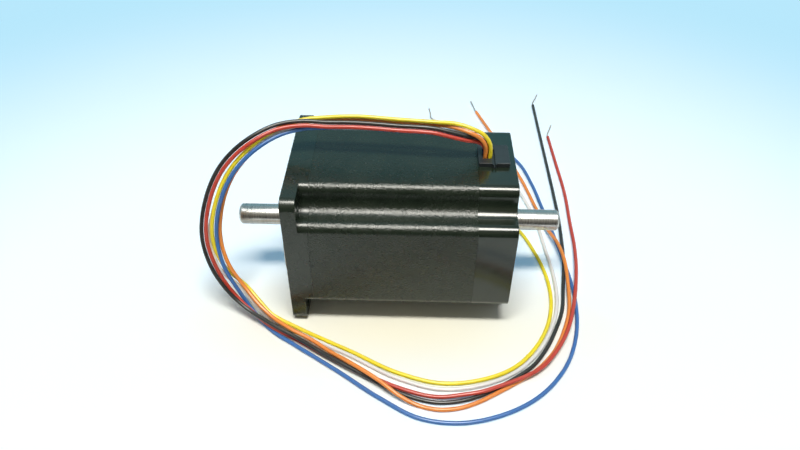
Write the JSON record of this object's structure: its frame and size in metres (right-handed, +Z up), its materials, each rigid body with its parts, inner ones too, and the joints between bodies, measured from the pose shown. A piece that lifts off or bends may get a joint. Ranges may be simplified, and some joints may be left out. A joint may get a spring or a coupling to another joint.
{
  "type": "stepper motor",
  "caption": "Square-frame hybrid stepper motor with a shaft out of both ends, a pilot boss and flange, and coloured free leads with stripped ends.",
  "frame": {"origin": "on the shaft axis, at the centre of the pilot boss in the plane of the mounting face", "axes": "+X runs along the shaft from the mounting face to the rear end bell, +Z is up, the side that the leads leave by, and +Y points away from the picture's camera"},
  "size_m": [0.2262, 0.3242, 0.1079],
  "materials": {
    "bell_paint": "semi-gloss black paint on die-cast bells",
    "stack_paint": "semi-gloss black paint with a fine orange-peel over the lamination edges",
    "insulator_nylon": "natural moulded nylon",
    "enamelled_copper": "enamelled copper wire",
    "grommet_rubber": "black moulded rubber",
    "black_steel": "black oxide",
    "spring_steel": "bright spring steel",
    "ground_steel": "ground round the shaft",
    "lamination_steel": "ground silicon steel",
    "magnet_metal": "cast alloy magnet",
    "spacer_brass": "turned",
    "bearing_steel": "ground and hardened",
    "bearing_balls": "polished",
    "cage_steel": "pressed",
    "shield_steel": "pressed",
    "insulation_yellow": "satin lead insulation",
    "insulation_white": "satin lead insulation",
    "insulation_orange": "satin lead insulation",
    "insulation_black": "satin lead insulation",
    "insulation_red": "satin lead insulation",
    "insulation_blue": "satin lead insulation",
    "bare_copper": "bare twisted strands"
  },
  "bodies": {
    "motor_body": {"front_end_bell": "bell_paint", "rear_end_bell": "bell_paint", "stator_stack": "stack_paint", "front_insulator": "insulator_nylon", "rear_insulator": "insulator_nylon", "phase_a_coils": "enamelled_copper", "phase_b_coils": "enamelled_copper", "lead_grommet": "grommet_rubber", "tie_screws": "black_steel", "tie_washers": "spring_steel", "front_bearing_outer_race": "bearing_steel", "front_bearing_shields": "shield_steel", "rear_bearing_outer_race": "bearing_steel", "rear_bearing_shields": "shield_steel", "wave_washer": "spring_steel", "lead_yellow": "insulation_yellow", "lead_white": "insulation_white", "lead_orange": "insulation_orange", "lead_black": "insulation_black", "lead_red": "insulation_red", "lead_blue": "insulation_blue", "strands_yellow": "bare_copper", "strands_white": "bare_copper", "strands_orange": "bare_copper", "strands_black": "bare_copper", "strands_red": "bare_copper", "strands_blue": "bare_copper"},
    "rotor": {"shaft": "ground_steel", "north_rotor_cups": "lamination_steel", "south_rotor_cups": "lamination_steel", "rotor_magnets": "magnet_metal", "rotor_spacers": "spacer_brass", "front_bearing_inner_race": "bearing_steel", "rear_bearing_inner_race": "bearing_steel"},
    "front_ball_train": {"front_bearing_balls": "bearing_balls", "front_bearing_cage": "cage_steel"},
    "rear_ball_train": {"rear_bearing_balls": "bearing_balls", "rear_bearing_cage": "cage_steel"}
  },
  "joints": [
    {"name": "rotor_spin", "type": "hinge", "parent": "motor_body", "child": "rotor", "pos_m": [0, 0, 0], "axis": [1, 0, 0], "continuous": true},
    {"name": "front_ball_train_spin", "type": "hinge", "parent": "motor_body", "child": "front_ball_train", "pos_m": [0.0067, 0, 0], "axis": [1, 0, 0], "continuous": true},
    {"name": "rear_ball_train_spin", "type": "hinge", "parent": "motor_body", "child": "rear_ball_train", "pos_m": [0.1117, 0, 0], "axis": [1, 0, 0], "continuous": true}
  ],
  "couplings": [
    {"joint": "front_ball_train_spin", "follows": "rotor_spin", "ratio": 0.381},
    {"joint": "rear_ball_train_spin", "follows": "rotor_spin", "ratio": 0.381}
  ]
}
